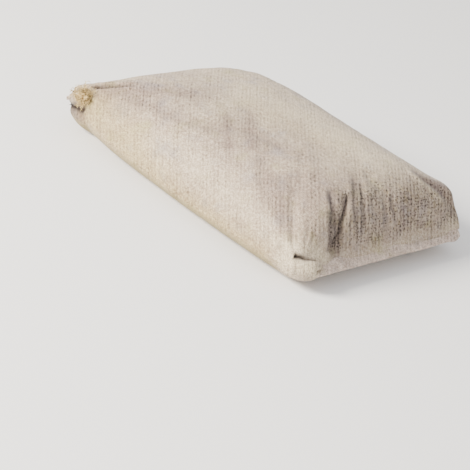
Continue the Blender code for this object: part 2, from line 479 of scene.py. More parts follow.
class ClothShader(NodeTree):
    """One cotton's nodes, which lay colours over each other."""

    def __init__(self, finish: ClothFinish, groups: dict[str, bpy.types.NodeTree], turn: Euler) -> None:
        """Build the material.

        Args:
            finish: The cloth's colours and sizes.
            groups: The shared shader groups by name.
            turn: How the streaks are turned against the sack.
        """
        self.finish, self.groups = finish, groups
        self.material, shader = new_material(finish.name, finish.roughness)
        super().__init__(self.material.node_tree)
        where = self.add("TexCoord")
        self.place, self.flat = where.outputs["Object"], where.outputs["UV"]
        self.turned = self.add("Mapping", {"Vector": self.place, "Rotation": turn})
        self.ribs = self.pattern("ribs", self.turned, Pitch=finish.slub_pitch, Dash=finish.dash).outputs[0]
        self.weave = self.pattern("weave", self.flat, Pitch=finish.pitch)
        self.add_patches()
        if finish.uses_masks:
            self.add_tints()
        self.add_streaks()
        if finish.uses_masks:
            self.add_soil()
        self.add_specks()
        # Painted shade in the slits and narrow gaps.
        if finish.uses_masks:
            self.cover(self.mask("gap_shade"), finish.gap_dark)
        self.feed(self.colour, shader.inputs["Base Color"])
        self.feed(self.bump(), shader.inputs["Normal"])
        self.feed(finish.sheen, shader.inputs["Sheen Weight"])
        self.feed(finish.specular, shader.inputs["Specular IOR Level"])

    def pattern(self, name: str, vector: object, **sizes: object) -> bpy.types.Node:
        """Add one of the shared groups at a place on the cloth."""
        return self.add("Group", {"Vector": vector, **sizes}, node_tree=self.groups[name])

    def grain(self, size: float, detail: float = 1.0) -> Socket:
        """Noise on the sack with lumps of a size."""
        return self.noise(self.place, 1 / size, detail)

    def cover(self, share: object, colour: str) -> None:
        """Lay a colour over what is there."""
        self.colour = self.mix(share, self.colour, colour)

    def stain(self, share: object, colour: str) -> None:
        """Darken what is there by a colour."""
        self.colour = self.mix(share, self.colour, colour, "MULTIPLY")

    def add_patches(self) -> None:
        """Start with the plain cloth and its pale, warm and rosy patches."""
        finish = self.finish
        patches = self.ramp(self.grain(finish.patch_size, 3.0), 0.35, 0.65)
        self.colour = self.mix(patches, finish.light, finish.dark)
        self.stain(self.ramp(self.grain(finish.mottle_size), 0.60, 0.35), finish.mottle)
        tints = self.grain(finish.tint_size, 2.0)
        self.cover(self.ramp(tints, 0.55, 0.80), finish.warm)
        self.cover(self.ramp(tints, 0.48, 0.20), finish.rosy)

    def add_tints(self) -> None:
        """Lay the painted shade of the folds and dips, a warmer tone, and the painted light of the lit faces
        and ridges over the plain cloth.
        """
        self.stain(self.mask(Tint.COOL.value), self.finish.cool)
        self.stain(self.mask(Tint.WARM.value), self.finish.warm_wash)
        self.cover(self.times(self.mask(Tint.PALE.value), self.finish.pale_light_share), self.finish.pale)

    def add_streaks(self) -> None:
        """Darken the thin places of the yarns, the ribs and the threads that pass under."""
        finish = self.finish
        slubs = self.pattern("slubs", self.turned, Pitch=finish.slub_pitch / 2, Length=finish.slub_length)
        self.stain(self.times(self.math("SUBTRACT", 1.0, slubs), finish.slub_share), finish.slub_shade)
        strength: object = finish.rib_share
        # The ribs darken more where shade is painted in the folds and dips.
        if finish.uses_masks:
            strength = self.times(self.mask(Tint.COOL.value), finish.shade_rib_share, finish.rib_share)
        self.stain(self.times(self.ribs, strength), finish.rib_shade)
        self.stain(self.ramp(self.grain(finish.grain_size), 0.62, 0.38), finish.grain_shade)
        patchy = self.ramp(self.noise(self.place, finish.weave_scale), 0.30, 0.70)
        under = self.times(self.weave.outputs["Over"], -0.5, 0.5)
        self.stain(self.times(under, self.times(patchy, 0.34, 0.02)), finish.weave_shade)

    def add_soil(self) -> None:
        """Paint shade into the folds, over the mouth end and along the lower front edge."""
        finish = self.finish
        folds, mouth_shade_share, edges = (self.mask(name) for name in ("fold_shade", "mouth_shade", "lower_edge_shade"))
        # Painted shade over the mouth end.
        self.stain(self.times(mouth_shade_share, finish.mouth_shade_strength), finish.mouth_shade_colour)
        # Olive and lilac blotches of random tone, laid only within the painted shade of the mouth end.
        shade_blotches = self.grain(finish.shade_blotch_size, 2.0)
        for low, high, colour in ((0.54, 0.70, finish.olive), (0.46, 0.30, finish.lilac)):
            share = self.times(self.ramp(shade_blotches, low, high), mouth_shade_share)
            self.stain(self.times(share, finish.shade_blotch_share), colour)
        # Dark pores between the threads, more and deeper where shade is painted on the mouth end.
        amount = self.times(mouth_shade_share, 0.35, 0.30)
        pores = self.pattern("pores", self.flat, Pitch=finish.pore_pitch, Amount=amount)
        # Painted shade in the creases and hollows.
        self.cover(self.times(folds, finish.fold_share), finish.fold_shade_colour)
        depth = self.math("MULTIPLY_ADD", mouth_shade_share, 0.90, 0.14, clamp=True)
        self.cover(self.times(pores, depth), finish.speck)
        # Dark dots of painted shade along the ribs and grain, in the folds and on the mouth end.
        dotted = self.times(self.ribs, self.math("MAXIMUM", mouth_shade_share, self.times(folds, 1.3)))
        fine = self.ramp(self.grain(finish.grain_size), 0.47, 0.58)
        self.cover(self.math("MULTIPLY", dotted, 1.20, clamp=True), finish.speck)
        self.cover(self.times(fine, self.math("MAXIMUM", folds, self.times(mouth_shade_share, 0.18))), finish.gap_dark)
        # Painted shade along the lower front edge.
        self.cover(self.times(edges, finish.lower_edge_shade_share), finish.lower_edge_shade_colour)

    def add_specks(self) -> None:
        """Add small dark specks of dirt and husk, with more of them in the painted shade of the mouth end.
        """
        finish = self.finish
        amount: object = finish.soil
        # More specks where shade is painted on the mouth end.
        if finish.uses_masks:
            amount = self.times(self.mask("mouth_shade"), 0.5, finish.soil)
        specks = self.pattern("specks", self.place, Size=finish.speck_size, Amount=amount)
        self.cover(self.times(specks, finish.speck_share), finish.speck)

    def bump(self) -> bpy.types.Node:
        """Raise the fine crumple of the cloth and its threads.

        Returns:
            The node whose first output is the normal.
        """
        finish = self.finish
        crumple = self.noise(self.place, finish.crumple_scale, 3.0)
        inputs = {"Height": crumple, "Strength": finish.crumple_strength, "Distance": finish.crumple_depth}
        first = self.add("Bump", inputs)
        inputs = {"Height": self.weave, "Strength": finish.weave_strength, "Distance": finish.weave_depth}
        return self.add("Bump", {**inputs, "Normal": first})


@dataclass(frozen=True)
class ThreadFinish:
    """The look of a twisted sewing thread."""

    name: str
    light: str
    dark: str
    twist: float = 0.0011
    twist_depth: float = 0.0003
    blotches: float = 190.0
    roughness: float = 0.85

    def make(self) -> Material:
        """Build the material, with a fine twist in its colour and bump.

        Returns:
            The material.
        """
        material, shader = new_material(self.name, self.roughness)
        nodes = NodeTree(material.node_tree)
        place = nodes.add("TexCoord").outputs["Object"]
        inputs = {"Vector": place, "Scale": 0.3 / self.twist}
        twist = nodes.add("TexWave", inputs, wave_type="BANDS", bands_direction="DIAGONAL").outputs["Fac"]
        share = nodes.times(twist, 0.35, nodes.times(nodes.noise(place, self.blotches), 0.65))
        colour = nodes.mix(nodes.ramp(share, 0.3, 0.7), self.light, self.dark)
        nodes.feed(colour, shader.inputs["Base Color"])
        bump = nodes.add("Bump", {"Height": twist, "Distance": self.twist_depth})
        nodes.feed(bump, shader.inputs["Normal"])
        return material


# The sack's form


@dataclass(frozen=True)
class SackForm:
    """The filled sack's plain form, by the same sizes as its solid.

    Places on it are u along it, from -1 at the base to 1 at the mouth, and v across
    it, from -1 at the front to 1 at the back.
    """

    length: float = 0.490
    width: float = 0.343
    height: float = 0.1193
    cloth: float = 0.002
    deeper: float = 0.014
    side_seam_z: float = 0.025
    base_corner_z: Pair = (0.0445, 0.0115)
    mouth_corner_z: Pair = (0.0345, 0.0358)
    base_power: float = 3.6
    mouth_power: float = 8.0
    side_power: float = 3.45
    seam_power: float = 4.0
    base_fullness: Pair = (0.54, -0.24)
    mouth_fullness: Pair = (0.20, 0.73)
    side_bow: Pair = (0.0095, 0.0055)
    dip_depth: float = 0.005
    dip_centre: Pair = (0.030, -0.060)
    dip_radii: Pair = (0.110, 0.060)
    pinch_depth: float = 0.008
    pinch_x: float = -0.216
    pinch_radius: float = 0.022
    under_end_radius: float = 0.018
    under_side_radius: float = 0.052
    filled_corners: tuple[tuple[Point, Point], ...] = (
        mm((-215, -140, 30), (30, 31, 27)), mm((232, -146, 30), (31, 27, 18)),
    )

    def half_width(self, u: Array, v: Array) -> Array:
        """Distance from the middle line to the side that v is towards, at u."""
        return self.width / 2 + np.where(v < 0, self.side_bow[0], self.side_bow[1]) * (1 - u * u)

    def plan(self, u: Array, v: Array) -> tuple[Array, Array]:
        """Find places in the sack's plan.

        Args:
            u: Places along it.
            v: Places across it.

        Returns:
            X and Y of each.
        """
        x = self.length / 2 * u
        y = self.half_width(u, v) * v
        near = np.exp(-(((x - self.pinch_x) / self.pinch_radius) ** 2))
        return x, y + np.where(v < 0, self.pinch_depth * near * np.abs(v) ** 6, 0)

    def seam(self, u: Array, v: Array) -> Array:
        """Find the height of the plane between the top and bottom cloth.

        Args:
            u: Places along the sack.
            v: Places across it.

        Returns:
            The heights.
        """
        share = (v + 1) / 2
        base, mouth = (z[0] + (z[1] - z[0]) * share for z in (self.base_corner_z, self.mouth_corner_z))
        corner = np.where(u > 0, mouth, base)
        return corner + (self.side_seam_z - corner) * (1 - np.abs(u) ** self.seam_power)

    def crown(self, u: Array, v: Array) -> Array:
        """Find the share of the full height: 1 in the middle and 0 at the seams.

        Args:
            u: Places along the sack.
            v: Places across it.

        Returns:
            The shares.
        """
        power = np.where(u > 0, self.mouth_power, self.base_power)
        along = np.maximum(0, 1 - np.abs(u) ** power)
        across = np.maximum(0, 1 - np.abs(v) ** self.side_power)
        base, mouth = (np.where(v > 0, s[1], s[0]) for s in (self.base_fullness, self.mouth_fullness))
        full = np.where(u > 0, mouth, base) * np.abs(u * v) ** 3
        return (along * across) ** (0.5 * (1 - full))

    def top(self, u: Array, v: Array) -> Array:
        """Find the height of the top cloth.

        Args:
            u: Places along the sack.
            v: Places across it.

        Returns:
            The heights.
        """
        edge = self.seam(u, v) + self.cloth / 2
        far = sum(((p - c) / r) ** 2 for p, c, r in zip(self.plan(u, v), self.dip_centre, self.dip_radii))
        full = self.height * (1 + self.deeper * u) - edge - self.dip_depth * np.exp(-far)
        return edge + full * self.crown(u, v)

    def bottom(self, u: Array, v: Array) -> Array:
        """Find the height of the bottom cloth.

        Args:
            u: Places along the sack.
            v: Places across it.

        Returns:
            The heights.
        """
        edge = self.seam(u, v) - self.cloth / 2
        down = self.round_in(self.length / 2 * (1 - np.abs(u)), self.under_end_radius)
        down = down * self.round_in(self.half_width(u, v) * (1 - np.abs(v)), self.under_side_radius)
        return edge * (1 - down)

    def swell(self, points: Array, blend: float = 9.0) -> Array:
        """Swell the two front corners round the sand that fills them.

        Args:
            points: The points of the plain form.
            blend: How sharply the swelling meets the plain form.

        Returns:
            The points, those inside a filled corner moved out to its surface.
        """
        for middle, radii in self.filled_corners:
            offset = (points - np.array(middle)) / np.array(radii)
            far = np.maximum(np.linalg.norm(offset, axis=-1, keepdims=True), 0.05)
            wanted = (far**blend + 1) ** (1 / blend)
            points = np.array(middle) + offset * np.array(radii) * wanted / far
        return points

    def round_in(self, distance: Array, radius: float) -> Array:
        """Share of the way down a rounded edge, at a distance in from the seam."""
        share = np.minimum(1, distance / radius)
        return np.sqrt(np.maximum(0, 1 - (1 - share) ** 2))


@dataclass(frozen=True)
class Hem:
    """The flat lip past an end seam, and what is folded over it and sewn along it."""

    form: SackForm
    end: End
    length: float = 0.0155
    drop: float = 0.0105
    share: float = 0.99
    band_cloth: float = 0.0012
    overhang: float = 0.001
    band_start: float = 0.0008
    band_top: float = 0.0002
    gap: float = 0.0003
    tuck: Pair = (-0.1450, -0.1410)
    tuck_left: float = 0.0
    strip_from: float = -0.1425
    ear: Pair = (-0.165, -0.120)
    ear_left: float = 0.45
    sag: float = 0.0055
    back_taper: float = 0.35
    wave: float = 0.0012
    wave_length: float = 0.055
    stitch_inset: float = 0.008

    @property
    def run(self) -> float:
        """Length of the lip along its slope."""
        return math.hypot(self.length, self.drop)

    @property
    def span(self) -> Pair:
        """Where the strip starts, at the front, and where it stops."""
        reach = self.form.width / 2 * self.share + self.overhang
        return (self.strip_from if self.end is End.MOUTH else -reach), reach

    def left(self, y: Array) -> Array:
        """Find how much of the lip is left where the front corners are crumpled or tucked in.

        Args:
            y: Places across the sack.

        Returns:
            Shares of the lip's length.
        """
        limits, least = (self.ear, self.ear_left) if self.end is End.BASE else (self.tuck, self.tuck_left)
        share = unit((y - limits[0]) / (limits[1] - limits[0]))
        back = unit((y - 0.148) / 0.024) if self.end is End.MOUTH else 0
        return (least + (1 - least) * share) * (1 - self.back_taper * back * back)

    def place(self, y: Array, along: Array | float, square: Array | float) -> Array:
        """Place points of the lip's own section, waved a little along its length.

        Args:
            y: Places across the sack.
            along: Distances out along the lip.
            square: Distances square to the lip, upwards.

        Returns:
            The points, one row each.
        """
        y, along, square = np.broadcast_arrays(y, along, square)
        along = along * self.left(y)
        sign = self.end.value
        x = sign * self.form.length / 2 + sign * (along * self.length + square * self.drop) / self.run
        foot = self.form.seam(np.full(y.shape, sign), y / (self.form.width / 2))
        wave = self.waves(y) * unit(along / self.run)
        z = foot + (-along * self.drop + square * self.length) / self.run + wave
        return np.stack([x, y, z], -1)

    def waves(self, y: Array) -> Array:
        """Find how far the hem rises and falls along its length.

        Args:
            y: Places across the sack.

        Returns:
            Heights above the straight hem.
        """
        flat = np.stack([y, np.zeros_like(y), np.zeros_like(y)], -1)
        seed = 3.0 + self.end.value
        slow = smooth_noise(flat, self.wave_length, seed)
        quick = smooth_noise(flat, self.wave_length / 3, seed + 9)
        back = unit((y - 0.135) / 0.030)
        return self.wave * (slow + 0.35 * quick) - self.sag * back * back


@dataclass(frozen=True)
class Crease:
    """A sharp fold in the cloth, along a path, with a soft ridge beside it and shade painted along it."""

    path: tuple[Point, ...]
    depth: float
    width: float
    ridge: float = 0.0
    side: float = 0.0
    shade: float = 0.6
    skew: float = 1.0
    gap: float = 0.0
    fade: float = 5.0
    taper: float = 0.0


@dataclass(frozen=True)
class Mound:
    """A soft swelling of the cloth, or a hollow where its height is negative, with shade painted over it as
    its shade says.
    """

    middle: Point
    radii: Point
    height: float
    shade: float = 0.0
    toward: Point | None = None


@dataclass(frozen=True)
class Wash:
    """A broad soft tint along a path, whose tint says whether it is painted shade, painted light or a warmer
    tone.
    """

    path: tuple[Point, ...]
    radius: float
    amount: float
    tint: Tint = Tint.COOL

    def share(self, points: Array) -> Array:
        """Find how strong the tint is.

        Args:
            points: Points of the cloth.

        Returns:
            The tint's share at each.
        """
        nearest = np.full(points.shape[:-1], np.inf)
        for place in path_points(self.path, 6 * len(self.path)):
            nearest = np.minimum(nearest, np.sum((points - place) ** 2, axis=-1))
        return self.amount * np.exp(-nearest / self.radius**2)


@dataclass
class ClothGrid:
    """A sack's points in rings that follow each other from the base to the mouth."""

    points: Array
    u: Array
    v: Array
    side: Array

    def normals(self) -> Array:
        """Find the points' unit normals.

        Returns:
            The normals, pointing out.
        """
        along = np.gradient(self.points, axis=0)
        across = np.roll(self.points, -1, axis=1) - np.roll(self.points, 1, axis=1)
        found = np.cross(along, across)
        return found / np.maximum(np.linalg.norm(found, axis=-1, keepdims=True), 1e-12)

    def push(self, distance: Array) -> None:
        """Move each point along its normal."""
        self.points = self.points + self.normals() * distance[..., None]

    def refined(self) -> ClothGrid:
        """Lay a finer grid on a smooth surface through this one.

        Returns:
            A grid with twice as many cells each way.
        """
        points = halve_cells(halve_cells(self.points, 0, False), 1, True)
        u = halve_cells(self.u, 0, False)
        v, side = (halve_cells(values, 0, True) for values in (self.v, self.side))
        return ClothGrid(points, u, v, np.sign(np.round(side, 3)))


def halve_cells(values: Array, axis: int, closed: bool) -> Array:
    """Add a value between each two neighbours, on a smooth curve through them.

    Args:
        values: The values.
        axis: The axis along which they are neighbours.
        closed: Whether the last one is the first one's neighbour.

    Returns:
        The values with the new ones between them.
    """
    data = np.moveaxis(values, axis, 0)
    if closed:
        wide = np.concatenate([data[-1:], data, data[:2]])
    else:
        wide = np.concatenate([2 * data[:1] - data[1:2], data, 2 * data[-1:] - data[-2:-1]])
    middle = (9 * (wide[1:-2] + wide[2:-1]) - wide[:-3] - wide[3:]) / 16
    made = np.empty((len(data) + len(middle), *data.shape[1:]))
    made[0::2], made[1::2] = data, middle
    return np.moveaxis(made, 0, axis)


def even_places(count: int, profiles: list[Array], span: Array, crowd: float, lean: float) -> Array:
    """Find places from -1 to 1 that are evenly spaced along the cloth, closer at both ends.

    Args:
        count: Number of cells.
        profiles: Heights of the cloth along the span, one array for each layer.
        span: Places at which the heights are given, with their real distances.
        crowd: How much closer the end cells are, from 0 to 1.
        lean: How much closer cells are at the far end than at the near one, from -1 to 1.

    Returns:
        count + 1 places.
    """
    total = sum(np.hypot(np.diff(span), np.diff(heights)) for heights in profiles)
    travelled = np.concatenate([[0], np.cumsum(total)])
    steps = np.linspace(0, 1, count + 1)
    steps = steps + lean * steps * (1 - steps)
    steps = steps - crowd * np.sin(2 * math.pi * steps) / (2 * math.pi)
    return np.interp(steps * travelled[-1], travelled, np.linspace(-1, 1, len(span)))


# Meshes


def ring_faces(rings: int, count: int) -> list[tuple[int, ...]]:
    """Lay faces between rings of points that follow each other.

    Args:
        rings: Number of rings.
        count: Number of points round each.

    Returns:
        Point numbers of each face.
    """
    made = []
    for start in range(0, (rings - 1) * count, count):
        for k in range(count):
            j = (k + 1) % count
            made.append((start + k, start + count + k, start + count + j, start + j))
    return made


def add_mesh(
    name: str, points: Array, faces: list, material: Material | None = None, edges: list | None = None
) -> Object:
    """Make a smooth shaded object of points and faces.

    Args:
        name: The object's name.
        points: One row for each point.
        faces: Point numbers of each face.
        material: The object's material, if it has one yet.
        edges: Point numbers of each edge without a face.

    Returns:
        The object, linked to the scene.
    """
    mesh = bpy.data.meshes.new(name)
    mesh.from_pydata(points.reshape(-1, 3).tolist(), edges or [], faces)
    mesh.validate()
    mesh.shade_smooth()
    if material:
        mesh.materials.append(material)
    obj = bpy.data.objects.new(name, mesh)
    bpy.context.scene.collection.objects.link(obj)
    return obj


@contextmanager
def edited(obj: Object) -> Iterator[bmesh.types.BMesh]:
    """Open an object's mesh, and write it back after the changes.

    Args:
        obj: The object.

    Yields:
        The open mesh.
    """
    bm = bmesh.new()
    bm.from_mesh(obj.data)
    bm.verts.ensure_lookup_table()
    yield bm
    bm.to_mesh(obj.data)
    bm.free()


def map_cloth(obj: Object, along: Array, around: Array) -> None:
    """Map a piece's cloth flat in metres, so that the weave follows it.

    Args:
        obj: The piece, whose points are in rings.
        along: Each point's place along the piece, by ring.
        around: Its place round its ring, by ring, with one more at the end for the first point again.
    """
    mesh, count = obj.data, along.shape[1]
    corners, sizes = np.empty(len(mesh.loops), np.int32), np.empty(len(mesh.polygons), np.int32)
    mesh.loops.foreach_get("vertex_index", corners)
    mesh.polygons.foreach_get("loop_total", sizes)
    r, k = np.divmod(corners, count)
    face = np.repeat(np.arange(len(sizes)), sizes)
    wraps = np.zeros(len(sizes), bool)
    np.logical_or.at(wraps, face, (k == count - 1) & (sizes[face] < 5))
    place = np.where(wraps[face] & (k == 0), around[r, count], around[r, k])
    layer = mesh.uv_layers.new(name="cloth")
    layer.data.foreach_set("uv", np.stack([along[r, k], place], -1).astype(np.float32).ravel())


def frame_slot(node: str) -> str:
    """Find the record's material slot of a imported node.

    Args:
        node: The node's name.

    Returns:
        The slot's name.
    """
    materials = frame["record"]["materials"]
    found = [entry["slot"] for entry in materials if node in entry.get("nodes", [])]
    return found[0] if found else materials[0]["slot"]


def report(obj: Object) -> None:
    """Log a piece's size and number of triangles."""
    faces = sum(len(face.vertices) - 2 for face in obj.data.polygons)
    log.info("%s: %d triangles, %s mm", obj.name, faces, [round(1000 * side) for side in obj.dimensions])


@dataclass
class FilledSack:
    """The cotton sack, swollen by its sand, with its folds and seams."""

    form: SackForm
    hems: dict[End, Hem]
    creases: tuple[Crease, ...]
    mounds: tuple[Mound, ...]
    washes: tuple[Wash, ...]
    grid: ClothGrid | None = None
    cells_long: int = 130
    cells_wide: int = 88
    crowd: float = 0.45
    lean: Pair = (0.30, -0.25)
    lip_places: tuple[float, ...] = (0.0055, 0.009, 0.013, 0.017, 0.0186)

    frames: int = 20
    pressure: float = 3.5
    slack: float = 0.018
    end_slack: float = 0.07
    held_height: float = 0.0008
    wrinkle_reach: int = 70
    wrinkle_gain: float = 0.8
    most_move: float = 0.009

    welt: float = 0.0016
    welt_shape: tuple[float, ...] = (1.0, 0.45, -0.25)
    lumps: tuple[Point, ...] = ((0.050, 5.0, 0.0010), (0.018, 8.0, 0.00035))
    lump_floor: float = 0.012
    ridge_place: float = 2.4
    ridge_width: float = 1.4
    # Where shade is painted along the lower front edge.
    edge_shade_height: float = 0.013
    edge_shade_spread: float = 0.008
    edge_shade_until: Pair = (0.222, 0.02)
    # Where shade is painted on the mouth end, which faces away from the key light.
    mouth_shade_from: Pair = (0.150, 0.05)
    mouth_shade_fade: float = 0.008
    mouth_shade_foot: Pair = (0.002, 0.014)
    mouth_shade_edge: tuple[Pair, ...] = (
        (0.150, -0.050), (0.172, -0.066), (0.193, -0.081), (0.213, -0.096), (0.228, -0.106), (0.245, -0.110),
    )
    foot_height: float = 0.018
    foot_reach: float = 0.0090
    foot_drop: float = 0.0046
    even_corners: tuple[tuple[Point, Point, int], ...] = (
        (*mm((247, -158, 34), (26, 26, 22)), 300), (*mm((243, 172, 56), (24, 22, 40)), 110),
    )
    pulled_under: tuple[Point, Point, float] = (*mm((247, -160, 37), (22, 22, 18)), 0.009)

    def plain_grid(self) -> ClothGrid:
        """Lay the plain form on a grid of rings, top cloth first.

        Returns:
            The grid.
        """
        form = self.form
        line = np.linspace(-1, 1, 4001)
        middle = np.zeros_like(line)
        ways = (
            (self.cells_long, line, middle, form.length, self.lean[0]),
            (self.cells_wide, middle, line, form.width, self.lean[1]),
        )
        us, vs = (
            even_places(count, [form.top(u, v), form.bottom(u, v)], size / 2 * line, self.crowd, lean)
            for count, u, v, size, lean in ways
        )
        v = np.concatenate([vs, vs[-2:0:-1]])
        side = np.where(np.arange(len(v)) <= self.cells_wide, 1.0, -1.0)
        side[[0, self.cells_wide]] = 0.0
        grid_u, grid_v = np.meshgrid(us, v, indexing="ij")
        heights = np.where(side > 0, form.top(grid_u, grid_v), form.bottom(grid_u, grid_v))
        z = np.where(side == 0, form.seam(grid_u, grid_v), heights)
        return ClothGrid(form.swell(np.stack([*form.plan(grid_u, grid_v), z], -1)), us, v, side)

    def simulate(self) -> Array:
        """Swell a dense cotton cloth under the sand's pressure.

        Returns:
            How far each point of the grid moved.
        """
        points, ends = self.grid.points, np.abs(self.grid.u)[:, None]
        obj = add_mesh("cloth_study", points, self.faces())
        obj.shape_key_add(name="Basis")
        rest = obj.shape_key_add(name="Rest")
        centre = np.array([0, 0, self.form.height / 2])
        larger = centre + (points - centre) * (1 + self.slack)
        larger[..., 1] *= 1 + self.end_slack * ends**6
        rest.data.foreach_set("co", larger.astype(np.float32).ravel())
        held = (points[..., 2] < self.held_height) | (ends > 0.9999)
        obj.vertex_groups.new(name="held").add(np.nonzero(held.ravel())[0].tolist(), 1.0, "REPLACE")
        cloth = obj.modifiers.new("Cloth", "CLOTH")
        settings = {
            "quality": 6, "mass": 0.3, "air_damping": 1, "tension_stiffness": 15,
            "compression_stiffness": 15, "shear_stiffness": 5, "bending_stiffness": 0.2,
            "bending_damping": 0.5, "use_pressure": True, "uniform_pressure_force": self.pressure,
            "rest_shape_key": rest, "vertex_group_mass": "held",
        }
        for name, value in settings.items():
            setattr(cloth.settings, name, value)
        cloth.settings.effector_weights.gravity = 0
        cloth.collision_settings.use_collision = False
        cloth.collision_settings.use_self_collision = False
        cloth.point_cache.frame_start, cloth.point_cache.frame_end = 1, self.frames
        scene = bpy.context.scene
        for number in range(1, self.frames + 1):
            scene.frame_set(number)
        result = obj.evaluated_get(bpy.context.evaluated_depsgraph_get())
        moved = np.empty(points.size, np.float32)
        result.data.vertices.foreach_get("co", moved)
        bpy.data.objects.remove(obj)
        scene.frame_set(1)
        return moved.reshape(points.shape) - points

    def wrinkles(self, moves: Array) -> Array:
        """Keep the folds of a simulated move and leave out its broad swelling.

        Args:
            moves: How far each point moved.

        Returns:
            The moves that are kept, none longer than the most that a point may move.
        """
        broad = moves.copy()
        for _ in range(self.wrinkle_reach):
            broad = (np.roll(broad, 1, 1) + 2 * broad + np.roll(broad, -1, 1)) / 4
            wide = np.concatenate([broad[:1], broad, broad[-1:]])
            broad = (wide[:-2] + 2 * wide[1:-1] + wide[2:]) / 4
        fine = (moves - broad) * self.wrinkle_gain
        size = np.linalg.norm(fine, axis=-1, keepdims=True)
        return fine / np.maximum(1, size / self.most_move)

    def faces(self) -> list[tuple[int, ...]]:
        """Lay faces between the rings, and across both ends.

        Returns:
            Point numbers of each face, so that faces point out.
        """
        rings, count = self.grid.points.shape[:2]
        made = ring_faces(rings, count)
        for start, step in ((0, 1), ((rings - 1) * count, -1)):
            for k in range(count // 2):
                face = (start + k, start + (count - k) % count, start + count - k - 1, start + k + 1)
                made.append(tuple(dict.fromkeys(face))[::step])
        return made

    def sculpt(self) -> dict[str, Array]:
        """Press in the creases, raise the side seams and roughen the cloth a little.

        Returns:
            Masks of painted shade, painted light and a warmer tone, by name.
        """
        grid = self.grid
        loose = self.loose()
        free = unit(grid.points[..., 2] / self.lump_floor) * loose
        lumps = sum(smooth_noise(grid.points, size, seed) * high for size, seed, high in self.lumps)
        grid.push(lumps * free)
        # The creases and hollows paint shade into the fold and gap masks.
        shade, gap = np.zeros(loose.shape), np.zeros(loose.shape)
        for mound in self.mounds:
            share = np.exp(-away_squared(grid.points, mound.middle, mound.radii))
            if mound.toward is None:
                grid.push(mound.height * share * free)
            else:
                grid.points = grid.points + np.array(mound.toward) * (mound.height * share * free)[..., None]
            shade = np.maximum(shade, mound.shade * share)
        for crease in self.creases:
            dark = self.press(crease, loose)
            shade, gap = np.maximum(shade, crease.shade * dark), np.maximum(gap, crease.gap * dark)
        self.raise_welts(loose)
        x, y, z = np.moveaxis(grid.points, -1, 0)
        z[:] = np.maximum(z, 0.0)
        # Painted shade along the lower front edge of the under cloth.
        warm = np.exp(-(((z - self.edge_shade_height) / self.edge_shade_spread) ** 2)) * (grid.side <= 0)[None, :]
        warm = warm * unit((self.edge_shade_until[0] - x) / self.edge_shade_until[1]) * np.clip(0.25 - y / 0.1, 0.25, 1)
        masks = {"fold_shade": unit(shade), "gap_shade": unit(gap)}
        masks |= {"mouth_shade": self.mouth_shade_share(), "lower_edge_shade": warm}
        return masks | {tint.value: self.washed(tint) for tint in Tint}

    def washed(self, tint: Tint) -> Array:
        """Find how strong a tint is where its washes lie over each other.

        Args:
            tint: The tint.

        Returns:
            A share for each point.
        """
        total = np.zeros(self.grid.points.shape[:2])
        for wash in self.washes:
            if wash.tint is tint:
                total = 1 - (1 - total) * (1 - unit(wash.share(self.grid.points)))
        return total

    def mouth_shade_share(self) -> Array:
        """Find how strongly shade is painted on the mouth end, which faces away from the key light, behind
        the sharp edge by its corner.

        Returns:
            A share for each point.
        """
        x, y, z = np.moveaxis(self.grid.points, -1, 0)
        behind = unit((y - np.interp(x, *zip(*self.mouth_shade_edge))) / self.mouth_shade_fade)
        facing = unit(1.5 * self.grid.normals()[..., 0] + 0.05)
        foot = unit((z - self.form.mouth_corner_z[0] - self.mouth_shade_foot[0]) / self.mouth_shade_foot[1])
        uneven = 0.85 + 0.3 * smooth_noise(self.grid.points, 0.03, 2.0)
        return unit(unit((x - self.mouth_shade_from[0]) / self.mouth_shade_from[1]) * behind * facing * foot * uneven)

    def loose(self) -> Array:
        """Find where the cloth may be pushed.

        Returns:
            0 on the lips, which the strips are sewn round, and 1 elsewhere.
        """
        extra = len(self.lip_places)
        loose = np.ones(self.grid.points.shape[:2])
        for end, rows in ((End.BASE, slice(0, extra)), (End.MOUTH, slice(-extra, None))):
            loose[rows] = 1 - unit(self.hems[end].left(self.grid.points[rows, :, 1]) / 0.3)
        return loose

    def even_out(self) -> None:
        """Even out the cells round the mouth's corners, and round the filled ones again."""
        grid = self.grid
        order = -np.arange(len(grid.v)) % len(grid.v)
        loose = self.loose()[..., None]
        for middle, radii, rounds in self.even_corners:
            share = np.exp(-away_squared(grid.points, middle, radii) ** 2)[..., None] * loose
            first = int(np.argmax(share.max(axis=(1, 2)) > 0.01)) - 1
            points = grid.points[first:]
            for _ in range(rounds):
                after = np.concatenate([points[2:], points[-2:-1, order]])
                mean = points[:-1] + after + np.roll(points[1:], 1, 1) + np.roll(points[1:], -1, 1)
                points[1:] += (mean / 4 - points[1:]) * share[first + 1 :] * 0.6
        grid.points = grid.points + (self.form.swell(grid.points, 30.0) - grid.points) * loose
        middle, radii, drop = self.pulled_under
        grid.points[..., 2] -= drop * np.exp(-away_squared(grid.points, middle, radii)) * loose[..., 0]
        grid.points = grid.points + (self.form.swell(grid.points, 30.0) - grid.points) * loose

    def spread_feet(self) -> None:
        """Let the top cloth run out softly over the upper edges of the strips."""
        x, y, z = np.moveaxis(self.grid.points, -1, 0)
        for end in End:
            sign = end.value
            foot = self.form.seam(np.full(self.grid.v.shape, sign), self.grid.v)[None, :]
            low = unit(1 - (z - foot) / self.foot_height) ** 2 * self.hems[end].left(y)
            near = np.abs(x - sign * self.form.length / 2) < 0.03
            low = np.where(near & (self.grid.side > 0)[None, :] & (z > foot - 0.002), low, 0)
            x += sign * self.foot_reach * low
            z -= self.foot_drop * low

